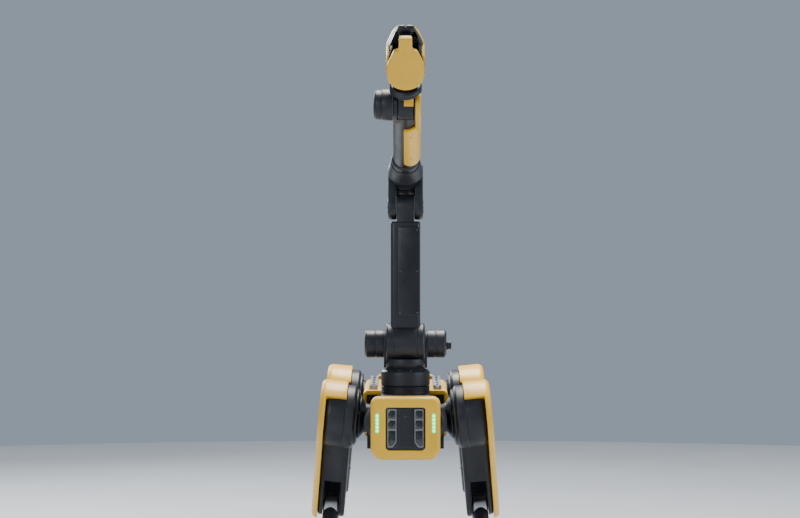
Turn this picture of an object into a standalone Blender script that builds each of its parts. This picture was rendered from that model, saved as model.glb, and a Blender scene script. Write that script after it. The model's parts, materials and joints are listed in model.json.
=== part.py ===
"""Quadruped robot dog with a manipulator arm, modelled as separate pieces around their joint axes.

The robot faces -Y, its left side is +X and +Z is up.  Units are metres.
Every moving group hangs on an empty that sits on its joint axis, and pieces are
modelled in the frame of that empty.
"""
from math import cos, radians, sin

import bmesh
import bpy
from mathutils import Matrix, Vector

# ---- driving dimensions -------------------------------------------------------------------
GAP = 0.0003                     # clearance between neighbouring pieces

HIP_HEIGHT = 0.53565             # hip axes above the ground
BODY_Y = 0.1234                  # middle between front and rear hips
HIP_X = 0.055                    # abduction axis from the centre plane
HIP_Y = 0.298                    # hip pitch axis from the middle of the body
LEG_OFFSET = 0.111               # leg plane from the abduction axis
THIGH_LENGTH = 0.3205
SHANK_LENGTH = 0.339
FOOT_RADIUS = 0.034
SPLAY = 5.5                      # degrees the legs lean outwards
THIGH_LEAN = 40.0                # degrees the thighs lean backwards
KNEE_BEND = 77.4                 # degrees between thigh and shank lines

ARM_Y = -0.292                   # arm yaw axis
SHOULDER_Z = 0.188               # shoulder pitch axis above the hip axes
UPPER_ARM_LENGTH = 0.3385
FOREARM_OFFSET = 0.075           # forearm axis behind the elbow axis
FOREARM_LENGTH = 0.4033
CHEEK_FACE = 0.0230              # left face of the wrist fork, under its cover
FOREARM_LEAN = 64.0              # degrees the forearm leans forwards from upright
HAND_LEAN = 40.0                 # degrees the hand leans forwards from upright
FINGER_PIVOT = (0.0148, 0.117)   # y and z of the jaw hinge in the hand's frame

SEGMENTS = 28                    # sides of a large round piece
SMALL_SEGMENTS = 20

# body, measured from the hip axes
DECK_TOP = 0.0660
CHASSIS_TOP = 0.0545
CHASSIS_BOTTOM = -0.0800
TUB_HALF_WIDTH = 0.0960
TUB_HALF_LENGTH = 0.2050
NECK_HALF_WIDTH = 0.0600         # deck and plates between the hips
END_FACE = 0.3870                # outer face of the end bulkheads
FACE_FRONT = 0.4300
FACE_HALF_WIDTH = 0.0850
FACE_TOP = 0.0655
FACE_BOTTOM = -0.0885
PANEL_HALF_WIDTH = 0.0485
PANEL_TOP = 0.0400
PANEL_BOTTOM = -0.0650
WINDOW_X = 0.0330
WINDOW_WIDTH = 0.0235
WINDOW_TOP = 0.0360
WINDOW_BOTTOM = -0.0580
LED_X = 0.0690
LED_WIDTH = 0.0090
LED_TOP = 0.0260
LED_BOTTOM = -0.0235

YELLOW = (0.78, 0.50, 0.07)
BLACK = (0.018, 0.020, 0.026)
GRAPHITE = (0.045, 0.048, 0.055)
METAL = (0.42, 0.43, 0.45)
RUBBER = (0.012, 0.012, 0.013)
GLASS = (0.010, 0.014, 0.018)
LED_GREEN = (0.25, 1.00, 0.55)

SIDES = {"left": 1, "right": -1}
ENDS = {"front": -1, "rear": 1}

# ---- scene helpers ------------------------------------------------------------------------


def clear_scene():
    for obj in list(bpy.data.objects):
        bpy.data.objects.remove(obj, do_unlink=True)


def new_collection(name):
    collection = bpy.data.collections.new(name)
    bpy.context.scene.collection.children.link(collection)
    return collection


clear_scene()
PARTS = new_collection("quadruped_robot_dog")
CUTTERS = new_collection("cutters")
AXIS_TURN = {
    "X": Matrix(((0, 0, 1, 0), (1, 0, 0, 0), (0, 1, 0, 0), (0, 0, 0, 1))),
    "Y": Matrix(((1, 0, 0, 0), (0, 0, -1, 0), (0, 1, 0, 0), (0, 0, 0, 1))),
    "Z": Matrix.Identity(4),
}


def material(name, colour, roughness, metallic=0.0, glow=0.0):
    made = bpy.data.materials.new(name)
    made.use_nodes = True
    shader = made.node_tree.nodes["Principled BSDF"]
    shader.inputs["Base Color"].default_value = (*colour, 1.0)
    shader.inputs["Roughness"].default_value = roughness
    shader.inputs["Metallic"].default_value = metallic
    shader.inputs["Emission Color"].default_value = (*colour, 1.0)
    shader.inputs["Emission Strength"].default_value = glow
    return made


FINISH = {
    "yellow": (YELLOW, 0.42, 0.0, 0.0),
    "black": (BLACK, 0.45, 0.0, 0.0),
    "graphite": (GRAPHITE, 0.40, 0.6, 0.0),
    "metal": (METAL, 0.35, 1.0, 0.0),
    "rubber": (RUBBER, 0.85, 0.0, 0.0),
    "glass": (GLASS, 0.08, 0.0, 0.0),
    "led": (LED_GREEN, 0.30, 0.0, 4.0),
}


def frame(name, parent, place, turn=(0.0, 0.0, 0.0)):
    """An empty on a joint axis; place in the parent's frame, turn in degrees."""
    empty = bpy.data.objects.new(name, None)
    empty.location = place
    empty.rotation_euler = [radians(angle) for angle in turn]
    empty.parent = parent
    PARTS.objects.link(empty)
    return empty


def add(name, mesh, parent):
    """A shape that is still a tool; keep() turns it into a finished part."""
    obj = bpy.data.objects.new(name, mesh)
    obj.parent = parent
    obj.hide_render = True
    obj.display_type = "WIRE"
    CUTTERS.objects.link(obj)
    return obj


def keep(obj, name, finish, bevel=0.0, bevel_segments=1):
    """Finish a shape as a part: its name, its own material, its bevel and its shading."""
    obj.name = name
    obj.data.name = name
    CUTTERS.objects.unlink(obj)
    PARTS.objects.link(obj)
    obj.hide_render = False
    obj.display_type = "TEXTURED"
    obj.data.materials.clear()
    obj.data.materials.append(material(name, *FINISH[finish]))
    if bevel:
        rounding = obj.modifiers.new("rounded edges", "BEVEL")
        rounding.width = bevel
        rounding.segments = bevel_segments
        rounding.limit_method = "ANGLE"
        rounding.angle_limit = radians(40)
    obj.data.shade_smooth()
    obj.data.set_sharp_from_angle(angle=radians(35))
    return obj


def combine(obj, tool, operation):
    modifier = obj.modifiers.new(operation.lower(), "BOOLEAN")
    modifier.operation = operation
    modifier.solver = "EXACT"
    modifier.object = tool


def join(obj, *tools):
    for tool in tools:
        combine(obj, tool, "UNION")
    return obj


def cut(obj, *tools):
    for tool in tools:
        combine(obj, tool, "DIFFERENCE")
    return obj


# ---- shapes -------------------------------------------------------------------------------


def mesh_from(build, name):
    mesh = bpy.data.meshes.new(name)
    work = bmesh.new()
    build(work)
    work.to_mesh(mesh)
    work.free()
    return mesh


def box(parent, x, y, z):
    """A block from its low and high limits along each axis."""
    lows = Vector((min(x), min(y), min(z)))
    highs = Vector((max(x), max(y), max(z)))
    size = highs - lows
    place = Matrix.Translation((lows + highs) / 2) @ Matrix.Diagonal((*size, 1.0))
    mesh = mesh_from(lambda work: bmesh.ops.create_cube(work, size=1.0, matrix=place), "box")
    return add("box", mesh, parent)


def cylinder(parent, radius, low, high, axis="Z", at=(0.0, 0.0, 0.0), end_radius=None,
             segments=SEGMENTS):
    """A cylinder or cone along an axis from low to high, its axis line passing through at."""
    low, high = min(low, high), max(low, high)
    direction = {"X": Vector((1, 0, 0)), "Y": Vector((0, 1, 0)), "Z": Vector((0, 0, 1))}[axis]
    turn = direction.to_track_quat("Z", "Y").to_matrix().to_4x4()
    matrix = Matrix.Translation(Vector(at) + direction * (low + high) / 2) @ turn
    top = radius if end_radius is None else end_radius

    def build(work):
        bmesh.ops.create_cone(work, cap_ends=True, segments=segments, radius1=radius,
                              radius2=top, depth=high - low, matrix=matrix)
    return add("cylinder", mesh_from(build, "cylinder"), parent)


def ball(parent, radius, centre, stretch=(1.0, 1.0, 1.0)):
    place = Matrix.Translation(centre) @ Matrix.Diagonal((*stretch, 1.0))

    def build(work):
        bmesh.ops.create_uvsphere(work, u_segments=16, v_segments=10, radius=radius, matrix=place)
    return add("ball", mesh_from(build, "ball"), parent)


def extruded(parent, outlines, low, high, axis):
    """Flat outlines (the first is the rim, the rest are holes) extruded along an axis.

    Outline points are (y, z) for axis X, (x, z) for axis Y and (x, y) for axis Z.
    """
    low, high = min(low, high), max(low, high)
    curve = bpy.data.curves.new("outline", "CURVE")
    curve.dimensions = "2D"
    curve.fill_mode = "BOTH"
    curve.extrude = (high - low) / 2
    for outline in outlines:
        spline = curve.splines.new("POLY")
        spline.points.add(len(outline) - 1)
        for point, (across, up) in zip(spline.points, outline):
            point.co = (across, up, 0.0, 1.0)
        spline.use_cyclic_u = True
    drawn = bpy.data.objects.new("outline", curve)
    PARTS.objects.link(drawn)
    bpy.context.view_layer.update()
    mesh = bpy.data.meshes.new_from_object(drawn.evaluated_get(bpy.context.evaluated_depsgraph_get()))
    bpy.data.objects.remove(drawn, do_unlink=True)
    work = bmesh.new()
    work.from_mesh(mesh)
    bmesh.ops.remove_doubles(work, verts=work.verts, dist=0.00001)
    if len(outlines) == 1:
        bmesh.ops.dissolve_limit(work, angle_limit=radians(0.1), verts=work.verts, edges=work.edges)
    bmesh.ops.recalc_face_normals(work, faces=work.faces)
    work.to_mesh(mesh)
    work.free()
    middle = (low + high) / 2
    shift = {"X": (middle, 0, 0), "Y": (0, middle, 0), "Z": (0, 0, middle)}[axis]
    mesh.transform(Matrix.Translation(shift) @ AXIS_TURN[axis])
    return add("extrusion", mesh, parent)


def turned(parent, profile, at=(0.0, 0.0, 0.0), segments=SEGMENTS):
    """A profile of (radius, z) points, listed from the top down, turned about a Z line."""
    mesh = bpy.data.meshes.new("profile")
    points = [(radius, 0.0, height) for radius, height in profile]
    mesh.from_pydata(points, [(i, i + 1) for i in range(len(points) - 1)], [])
    obj = add("turned", mesh, parent)
    obj.location = at
    screw = obj.modifiers.new("turn", "SCREW")
    screw.steps = segments
    screw.render_steps = segments
    screw.use_merge_vertices = True
    screw.merge_threshold = 0.0001
    return obj


# ---- outlines -----------------------------------------------------------------------------


def arc(centre, radius, start, end, steps):
    """Points on an arc; angles in degrees from the first axis towards the second."""
    angles = [radians(start + (end - start) * i / steps) for i in range(steps + 1)]
    return [(centre[0] + radius * cos(a), centre[1] + radius * sin(a)) for a in angles]


def rounded_rectangle(low, high, bottom_radius, top_radius, steps=4):
    (x0, z0), (x1, z1) = low, high
    return (arc((x1 - bottom_radius, z0 + bottom_radius), bottom_radius, -90, 0, steps)
            + arc((x1 - top_radius, z1 - top_radius), top_radius, 0, 90, steps)
            + arc((x0 + top_radius, z1 - top_radius), top_radius, 90, 180, steps)
            + arc((x0 + bottom_radius, z0 + bottom_radius), bottom_radius, 180, 270, steps))


def mirrored(outline):
    return [(-across, up) for across, up in reversed(outline)]


def belt(circles, steps=24):
    """The outline of a belt pulled tight round circles given as (across, up, radius)."""
    points = sorted(point for across, up, radius in circles
                    for point in arc((across, up), radius, 0, 360 * (1 - 1 / steps), steps - 1))

    def half(ordered):
        chain = []
        for p in ordered:
            while len(chain) > 1 and turn(chain[-2], chain[-1], p) <= 1e-9:
                chain.pop()
            chain.append(p)
        return chain[:-1]

    def turn(a, b, c):
        return (b[0] - a[0]) * (c[1] - a[1]) - (b[1] - a[1]) * (c[0] - a[0])
    return half(points) + half(points[::-1])


def sector(inner, outer, start, end, steps):
    """A ring sector; angles in degrees from the first axis towards the second."""
    return arc((0, 0), outer, start, end, steps) + arc((0, 0), inner, end, start, steps)


# ---- body ---------------------------------------------------------------------------------


def make_chassis(body):
    """Welded tub with the plates, bulkheads and web that carry the hip links."""
    tub = box(body, (-TUB_HALF_WIDTH, TUB_HALF_WIDTH), (-TUB_HALF_LENGTH, TUB_HALF_LENGTH),
              (CHASSIS_BOTTOM, CHASSIS_TOP))
    whole_length = (-END_FACE + 0.0005, END_FACE - 0.0005)
    plate_x = (-NECK_HALF_WIDTH, NECK_HALF_WIDTH)
    join(tub,
         box(body, plate_x, whole_length, (0.0480, CHASSIS_TOP - 0.0005)),
         box(body, plate_x, whole_length, (CHASSIS_BOTTOM + 0.0005, -0.0745)),
         box(body, (-0.005, 0.005), (-0.37, 0.37), (-0.076, 0.052)))
    for sign in ENDS.values():
        join(tub, box(body, (-NECK_HALF_WIDTH + 0.0005, NECK_HALF_WIDTH - 0.0005),
                      (sign * 0.3653, sign * END_FACE), (-0.079, 0.0535)))
    keep(tub, "chassis_frame", "graphite")


def make_hip_motors(body):
    """The stators of the abduction motors, bolted to the tub's end walls."""
    for end, forward in ENDS.items():
        for side, sign in SIDES.items():
            motor = cylinder(body, 0.0440, forward * (TUB_HALF_LENGTH + GAP), forward * 0.2310,
                             "Y", at=(sign * HIP_X, 0, 0), segments=SMALL_SEGMENTS)
            keep(motor, f"hip_motor_{end}_{side}", "metal", 0.002)


def face_opening():
    return rounded_rectangle((-PANEL_HALF_WIDTH, PANEL_BOTTOM), (PANEL_HALF_WIDTH, PANEL_TOP),
                             0.010, 0.006, 3)


def face_outline():
    return rounded_rectangle((-FACE_HALF_WIDTH, FACE_BOTTOM), (FACE_HALF_WIDTH, FACE_TOP),
                             0.030, 0.020, 6)


def shrunk_box(x, half_width, low, high, radius, by=0.0):
    """A rounded slot outline centred on x, smaller all round by the given clearance."""
    return rounded_rectangle((x - half_width + by, low + by), (x + half_width - by, high - by),
                             radius, radius, 3)


def make_front_face(body):
    """Yellow bezel, dark panel, two stereo sensor windows and two light strips."""
    led_slots = [shrunk_box(sign * LED_X, LED_WIDTH / 2 + GAP, LED_BOTTOM - GAP, LED_TOP + GAP, 0.004)
                 for sign in SIDES.values()]
    bezel = extruded(body, [face_outline(), face_opening(), *led_slots],
                     -FACE_FRONT, -END_FACE - GAP, "Y")
    keep(bezel, "front_bezel", "yellow", 0.0015)
    windows = [shrunk_box(sign * WINDOW_X, WINDOW_WIDTH / 2, WINDOW_BOTTOM, WINDOW_TOP, 0.003)
               for sign in SIDES.values()]
    panel = extruded(body, [rounded_rectangle((-PANEL_HALF_WIDTH + GAP, PANEL_BOTTOM + GAP),
                                              (PANEL_HALF_WIDTH - GAP, PANEL_TOP - GAP),
                                              0.0098, 0.0058, 3), *windows],
                     -FACE_FRONT + 0.003, -END_FACE - 0.001, "Y")
    keep(panel, "front_sensor_panel", "black")
    for side, sign in SIDES.items():
        glass = extruded(body, [shrunk_box(sign * WINDOW_X, WINDOW_WIDTH / 2, WINDOW_BOTTOM,
                                           WINDOW_TOP, 0.003, GAP)],
                         -FACE_FRONT + 0.0045, -END_FACE - 0.001, "Y")
        keep(glass, f"sensor_window_{side}", "glass")
        strip = extruded(body, [shrunk_box(sign * LED_X, LED_WIDTH / 2, LED_BOTTOM, LED_TOP, 0.004)],
                         -FACE_FRONT - 0.0005, -END_FACE - 0.001, "Y")
        keep(strip, f"led_strip_{side}", "led")


def make_covers(body):
    """Side shells, top deck, payload rails and belly battery."""
    inner = TUB_HALF_WIDTH + 0.0005
    outer = inner + 0.0095
    profile = ([(NECK_HALF_WIDTH, CHASSIS_TOP + GAP), (inner, CHASSIS_TOP + GAP), (inner, -0.050),
                (inner + 0.004, -0.050), (outer, -0.030)]
               + arc((outer - 0.012, DECK_TOP - 0.012), 0.012, 0, 90, 4)
               + [(NECK_HALF_WIDTH, DECK_TOP)])
    for side, sign in SIDES.items():
        outline = profile if sign > 0 else mirrored(profile)
        shell = extruded(body, [outline], -TUB_HALF_LENGTH + 0.002, TUB_HALF_LENGTH - 0.002, "Y")
        keep(shell, f"body_shell_{side}", "yellow")
        rail = box(body, (sign * 0.070, sign * 0.090), (-0.185, 0.185), (DECK_TOP + GAP, 0.0775))
        cut(rail, box(body, (sign * 0.0765, sign * 0.0835), (-0.19, 0.19), (0.0725, 0.085)))
        keep(rail, f"payload_rail_{side}", "metal")
    edge = NECK_HALF_WIDTH - GAP
    deck = box(body, (-edge, edge), (-END_FACE + 0.001, END_FACE - 0.001), (CHASSIS_TOP + GAP, DECK_TOP))
    keep(deck, "top_deck", "black", 0.0015)
    battery = box(body, (-0.075, 0.075), (-0.160, 0.160), (-0.0965, CHASSIS_BOTTOM - GAP))
    keep(battery, "battery_pack", "black", 0.005)


def make_rear(body):
    """Yellow rear cover with the vent panel, rear camera window and two push buttons."""
    cover = extruded(body, [face_outline(), face_opening()], END_FACE + GAP, FACE_FRONT, "Y")
    keep(cover, "rear_cover", "yellow", 0.0015)
    panel = extruded(body, [rounded_rectangle((-PANEL_HALF_WIDTH + GAP, PANEL_BOTTOM + GAP),
                                              (PANEL_HALF_WIDTH - GAP, PANEL_TOP - GAP),
                                              0.0098, 0.0058, 3)],
                     END_FACE + 0.001, FACE_FRONT - 0.003, "Y")
    for row in range(5):
        height = -0.055 + 0.011 * row
        cut(panel, box(body, (-0.036, 0.036), (0.415, 0.44), (height, height + 0.005)))
    cut(panel, box(body, (-0.0153, 0.0153), (0.412, 0.44), (0.0097, 0.0303)))
    for x in (-0.033, 0.033):
        cut(panel, cylinder(body, 0.0088, 0.402, 0.45, "Y", at=(x, 0, 0.020), segments=SMALL_SEGMENTS))
    keep(panel, "rear_panel", "black")
    window = box(body, (-0.015, 0.015), (0.4125, 0.4262), (0.010, 0.030))
    keep(window, "rear_camera_window", "glass")
    for name, x in (("motor_lockout_button", -0.033), ("power_button", 0.033)):
        button = cylinder(body, 0.0084, 0.408, 0.4295, "Y", at=(x, 0, 0.020), segments=SMALL_SEGMENTS)
        keep(button, name, "metal", 0.001)


# ---- legs ---------------------------------------------------------------------------------


def make_hip_link(hip, sign, label):
    """Barrel on the abduction axis with a neck and flange that carry the thigh."""
    barrel = cylinder(hip, 0.0475, -0.0665, 0.0665, "Y")
    join(barrel,
         cylinder(hip, 0.0340, sign * 0.010, sign * 0.060, "X", segments=SMALL_SEGMENTS),
         cylinder(hip, 0.0520, sign * 0.0555, sign * 0.0617, "X"))
    keep(barrel, f"hip_link_{label}", "black")


def make_thigh(thigh, sign, label):
    """Drum that houses the thigh motor, tapered beam and a fork for the knee."""
    drum = cylinder(thigh, 0.0775, -sign * 0.0405, sign * 0.0330, "X")
    beam = belt([(0.022, 0.0, 0.048), (0.018, -0.17, 0.042), (0.006, -THIGH_LENGTH, 0.030)])
    join(drum,
         cylinder(thigh, 0.0695, -sign * 0.0487, -sign * 0.0380, "X", segments=SMALL_SEGMENTS),
         extruded(thigh, [beam], -sign * 0.0350, sign * 0.0325, "X"))
    cut(drum,
        box(thigh, (-0.0205, 0.0205), (-0.09, 0.0275), (-0.42, -0.21)),
        cylinder(thigh, 0.0084, -0.05, 0.05, "X", at=(0, 0, -THIGH_LENGTH), segments=12))
    keep(drum, f"thigh_frame_{label}", "black")

    plate = belt([(0.0, 0.0, 0.0855), (0.016, -0.17, 0.045), (0.002, -THIGH_LENGTH, 0.037)])
    cover = extruded(thigh, [plate], sign * 0.0333, sign * 0.0480, "X")
    rim = sector(0.0780, 0.0885, -25, 105, 12)
    join(cover, extruded(thigh, [rim], -sign * 0.017, sign * 0.0410, "X"))
    keep(cover, f"thigh_cover_{label}", "yellow", 0.003)


def make_shank(knee, sign, label):
    """Round tapered shin with its knee boss and pin, and a rubber foot on its end."""
    boss = cylinder(knee, 0.0260, -0.0197, 0.0197, "X", segments=SMALL_SEGMENTS)
    join(boss,
         cylinder(knee, 0.0130, -SHANK_LENGTH + 0.0205, -0.005, "Z", end_radius=0.0190,
                  segments=SMALL_SEGMENTS),
         cylinder(knee, 0.0080, -0.0330, 0.0330, "X", segments=12))
    keep(boss, f"shank_{label}", "black")
    foot = ball(knee, FOOT_RADIUS, (0, 0, -SHANK_LENGTH))
    cut(foot, cylinder(knee, 0.0140, -SHANK_LENGTH + 0.0200, -SHANK_LENGTH + 0.06, "Z",
                       segments=SMALL_SEGMENTS))
    keep(foot, f"foot_{label}", "rubber")


def make_leg(body, end, side):
    label = f"{end}_{side}"
    sign = SIDES[side]
    hip = frame(f"hip_axis_{label}", body, (sign * HIP_X, ENDS[end] * HIP_Y, 0), (0, -sign * SPLAY, 0))
    make_hip_link(hip, sign, label)
    thigh = frame(f"thigh_axis_{label}", hip, (sign * LEG_OFFSET, 0, 0), (THIGH_LEAN, 0, 0))
    make_thigh(thigh, sign, label)
    knee = frame(f"knee_axis_{label}", thigh, (0, 0, -THIGH_LENGTH), (-KNEE_BEND, 0, 0))
    make_shank(knee, sign, label)


# ---- arm ----------------------------------------------------------------------------------


def make_turret(turret):
    """Turning column with the saddle and cheeks that carry the shoulder."""
    profile = [(0.0, 0.152), (0.0533, 0.152), (0.0535, 0.134), (0.0465, 0.126), (0.0550, 0.124),
               (0.0605, 0.118), (0.0605, 0.0843), (0.0, 0.0843)]
    column = turned(turret, profile)
    for sign in SIDES.values():
        join(column,
             box(turret, (sign * 0.0484, sign * 0.0533), (-0.022, 0.022), (0.145, SHOULDER_Z)),
             cylinder(turret, 0.0330, sign * 0.0482, sign * 0.0535, "X", at=(0, 0, SHOULDER_Z)))
    cut(column, cylinder(turret, 0.0518, -0.0481, 0.0481, "X", at=(0, 0, SHOULDER_Z)))
    keep(column, "turret_column", "graphite")
    for side, sign in SIDES.items():
        barrel = cylinder(turret, 0.0345, sign * 0.0538, sign * 0.1010, "X", at=(0, 0, SHOULDER_Z))
        if side == "left":
            join(barrel, cylinder(turret, 0.0110, 0.099, 0.1135, "X", at=(0, 0.002, SHOULDER_Z - 0.004),
                                  segments=SMALL_SEGMENTS))
        keep(barrel, f"shoulder_motor_{side}", "black", 0.003)


def make_upper_arm(shoulder):
    """Shoulder drum, box beam and elbow lug, with a screwed-on front cover."""
    drum = cylinder(shoulder, 0.0510, -0.0477, 0.0477, "X")
    lug = belt([(0.0, UPPER_ARM_LENGTH, 0.0300), (0.0, 0.28, 0.026)])
    join(drum,
         box(shoulder, (-0.0365, 0.0365), (-0.030, 0.030), (0.0, 0.302)),
         extruded(shoulder, [lug], -0.0215, 0.0215, "X"))
    keep(drum, "upper_arm_frame", "black")
    cover = box(shoulder, (-0.0185, 0.0345), (-0.0335, -0.0303), (0.070, 0.290))
    keep(cover, "upper_arm_cover", "black", 0.001)


def make_forearm_root(elbow):
    """Two ears on the elbow axis and the tapered housing of the roll motor."""
    profile = [(0.0, 0.100), (0.0355, 0.100), (0.0420, 0.050), (0.0420, -0.027), (0.0360, -0.033),
               (0.0, -0.033)]
    housing = turned(elbow, profile, at=(0, FOREARM_OFFSET, 0))
    ears = belt([(0.0, 0.0, 0.032), (FOREARM_OFFSET, 0.004, 0.034)])
    for sign in SIDES.values():
        join(housing, extruded(elbow, [ears], sign * 0.0220, sign * 0.0430, "X"))
    keep(housing, "forearm_root", "black")


def make_forearm(roll):
    """Tube with a wrist fork, the wrist motor beside it and the yellow cover on its left."""
    tube = cylinder(roll, 0.0300, 0.1003, 0.385, "Z")
    cheek = belt([(0.0, FOREARM_LENGTH, 0.0300), (0.0, 0.366, 0.0280)])
    join(tube, extruded(roll, [cheek], -0.0298, 0.0298, "X"))
    cut(tube,
        cylinder(roll, 0.0350, -0.0198, 0.0198, "X", at=(0, 0, FOREARM_LENGTH)),
        box(roll, (CHEEK_FACE, 0.05), (-0.05, 0.05), (0.2940, 0.46)))
    keep(tube, "forearm_tube", "black")

    motor = cylinder(roll, 0.0370, -0.0757, -0.0303, "X", at=(0, 0, FOREARM_LENGTH))
    keep(motor, "wrist_motor", "black", 0.003)

    shell = extruded(roll, [sector(0.0304, 0.0365, -95, 95, 14)], 0.135, 0.335, "Z")
    cap = belt([(0.0, FOREARM_LENGTH, 0.0340), (0.0, 0.320, 0.0250)])
    join(shell, extruded(roll, [cap], CHEEK_FACE + GAP, 0.0363, "X"))
    keep(shell, "forearm_cover", "yellow", 0.0012)


def make_wrist(wrist):
    """Knuckle in the wrist fork, with a yellow cap on the left half of its front."""
    knuckle = cylinder(wrist, 0.0335, -0.0193, 0.0193, "X")
    join(knuckle, box(wrist, (-0.0190, 0.0190), (-0.020, 0.020), (0.0, 0.040)))
    cut(knuckle, box(wrist, (-0.0040, 0.05), (-0.05, -0.0165), (0.0177, 0.0360)))
    join(knuckle, cylinder(wrist, 0.0300, 0.036, 0.0450, "Z"))
    keep(knuckle, "wrist_knuckle", "graphite")

    cap = cylinder(wrist, 0.0335, -0.0037, 0.0187, "X")
    join(cap, box(wrist, (-0.0037, 0.0187), (-0.020, 0.0), (0.0, 0.0357)))
    cut(cap,
        box(wrist, (-0.05, 0.05), (-0.0168, 0.05), (-0.05, 0.05)),
        box(wrist, (-0.05, 0.05), (-0.05, 0.05), (-0.05, 0.0180)))
    keep(cap, "wrist_cover", "yellow")


def make_hand(roll):
    """The palm with its lower jaw, cover and camera."""
    palm = box(roll, (-0.0295, 0.0295), (-0.0175, 0.028), (0.057, 0.141))
    jaw = [(-0.026, 0.10), (0.026, 0.10), (0.026, 0.150), (0.0145, 0.182), (0.0145, 0.2175),
           (-0.0145, 0.2175), (-0.0145, 0.182), (-0.026, 0.150)]
    join(palm,
         cylinder(roll, 0.0385, 0.0453, 0.060, "Z"),
         extruded(roll, [jaw], -0.0170, -0.006, "Y"))
    keep(palm, "palm_frame", "black")

    round_part = arc((0, 0.112), 0.0428, 180, 360, 16)
    neck = [(0.0425, 0.143), (0.0275, 0.181), (0.0160, 0.186), (0.0152, 0.2215)]
    keyhole = round_part + neck + [(-x, z) for x, z in reversed(neck)]
    cover = extruded(roll, [keyhole], -0.0345, -0.0178, "Y")
    keep(cover, "palm_cover", "yellow", 0.003, 2)

    lens = cylinder(roll, 0.0070, 0.1413, 0.1455, "Z", at=(0, 0.009, 0), segments=SMALL_SEGMENTS)
    keep(lens, "palm_camera", "glass")


def make_finger(finger):
    """Upper jaw: two arms on the hinge, a bridge that narrows to its tip, and side covers."""
    jaw = belt([(0.0, 0.0, 0.030), (0.006, 0.066, 0.018), (-0.010, 0.108, 0.0065)])
    cover = belt([(0.0, 0.0, 0.0312), (0.006, 0.066, 0.0190), (-0.010, 0.108, 0.0070)])
    mouth = ((-0.0300, 0.0300), (-0.05, 0.006 - FINGER_PIVOT[0]), (0.030, 0.100))
    body = extruded(finger, [jaw], -0.0400, 0.0400, "X")
    cut(body,
        box(finger, (-0.0300, 0.0300), (-0.05, 0.05), (-0.05, 0.0307)),
        box(finger, *mouth))
    for sign in SIDES.values():
        cut(body, finger_flank(finger, sign, 0.0400))
    keep(body, "finger_frame", "black")
    for side, sign in SIDES.items():
        low, high = sorted((sign * 0.0130, sign * 0.0450))
        shell = extruded(finger, [cover], low, high, "X")
        cut(shell,
            finger_flank(finger, sign, 0.0450),
            finger_core(finger, sign, 0.0403),
            box(finger, *mouth))
        keep(shell, f"finger_cover_{side}", "yellow")


def finger_line(sign, width):
    """Half the outline of the upper jaw seen from the back, from the hinge to the tip."""
    return [(sign * width, -0.06), (sign * width, 0.034), (sign * (width - 0.0273), 0.112),
            (sign * (width - 0.0286), 0.117)]


def finger_flank(finger, sign, width):
    """Everything outside that outline on one side."""
    outline = finger_line(sign, width) + [(sign * 0.08, 0.14), (sign * 0.08, -0.06)]
    return extruded(finger, [outline], -0.06, 0.06, "Y")


def finger_core(finger, sign, width):
    """Everything inside that outline on one side."""
    outline = finger_line(sign, width) + [(0.0, 0.14), (0.0, -0.06)]
    return extruded(finger, [outline], -0.06, 0.06, "Y")


def make_arm(body):
    base = cylinder(body, 0.0605, DECK_TOP + GAP, 0.0840, "Z", at=(0, ARM_Y, 0))
    keep(base, "arm_base_ring", "graphite", 0.0015)
    turret = frame("arm_yaw_axis", body, (0, ARM_Y, 0))
    make_turret(turret)
    shoulder = frame("shoulder_axis", turret, (0, 0, SHOULDER_Z))
    make_upper_arm(shoulder)
    elbow = frame("elbow_axis", shoulder, (0, 0, UPPER_ARM_LENGTH), (FOREARM_LEAN, 0, 0))
    make_forearm_root(elbow)
    roll = frame("forearm_roll_axis", elbow, (0, FOREARM_OFFSET, 0))
    make_forearm(roll)
    wrist = frame("wrist_axis", roll, (0, 0, FOREARM_LENGTH), (HAND_LEAN - FOREARM_LEAN, 0, 0))
    make_wrist(wrist)
    hand = frame("hand_roll_axis", wrist, (0, 0, 0))
    make_hand(hand)
    finger = frame("finger_axis", hand, (0, *FINGER_PIVOT))
    make_finger(finger)


def main():
    body = frame("robot_body", None, (0, BODY_Y, HIP_HEIGHT))
    make_chassis(body)
    make_hip_motors(body)
    make_front_face(body)
    make_covers(body)
    make_rear(body)
    for end in ENDS:
        for side in SIDES:
            make_leg(body, end, side)
    make_arm(body)


main()
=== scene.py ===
"""Looks of the quadruped robot dog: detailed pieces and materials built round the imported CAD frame.

The robot faces -Y and its left side is +X.  Metres throughout.  Pieces are modelled in the local
frame of the joint that carries them and baked into world coordinates.
"""
import json
from math import atan, cos, radians, sin, sqrt

import bmesh
import bpy
from mathutils import Matrix, Vector


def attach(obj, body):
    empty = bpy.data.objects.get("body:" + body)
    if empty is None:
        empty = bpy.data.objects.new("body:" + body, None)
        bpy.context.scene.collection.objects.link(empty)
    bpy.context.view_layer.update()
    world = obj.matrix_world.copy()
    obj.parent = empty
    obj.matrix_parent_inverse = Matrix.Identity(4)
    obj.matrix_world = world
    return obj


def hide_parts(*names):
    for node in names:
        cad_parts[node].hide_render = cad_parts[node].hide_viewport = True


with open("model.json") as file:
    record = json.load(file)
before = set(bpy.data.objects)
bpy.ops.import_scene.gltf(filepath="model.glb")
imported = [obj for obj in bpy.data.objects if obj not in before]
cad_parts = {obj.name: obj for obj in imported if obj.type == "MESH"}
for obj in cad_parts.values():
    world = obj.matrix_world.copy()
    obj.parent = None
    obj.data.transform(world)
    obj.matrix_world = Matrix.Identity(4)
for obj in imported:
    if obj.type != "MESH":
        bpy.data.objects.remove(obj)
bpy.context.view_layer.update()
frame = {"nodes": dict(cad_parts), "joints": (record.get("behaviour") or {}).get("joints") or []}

SIDES = {"left": 1, "right": -1}
ENDS = {"front": -1, "rear": 1}
JOINTS = {joint["name"]: joint for joint in frame["joints"]}

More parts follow.
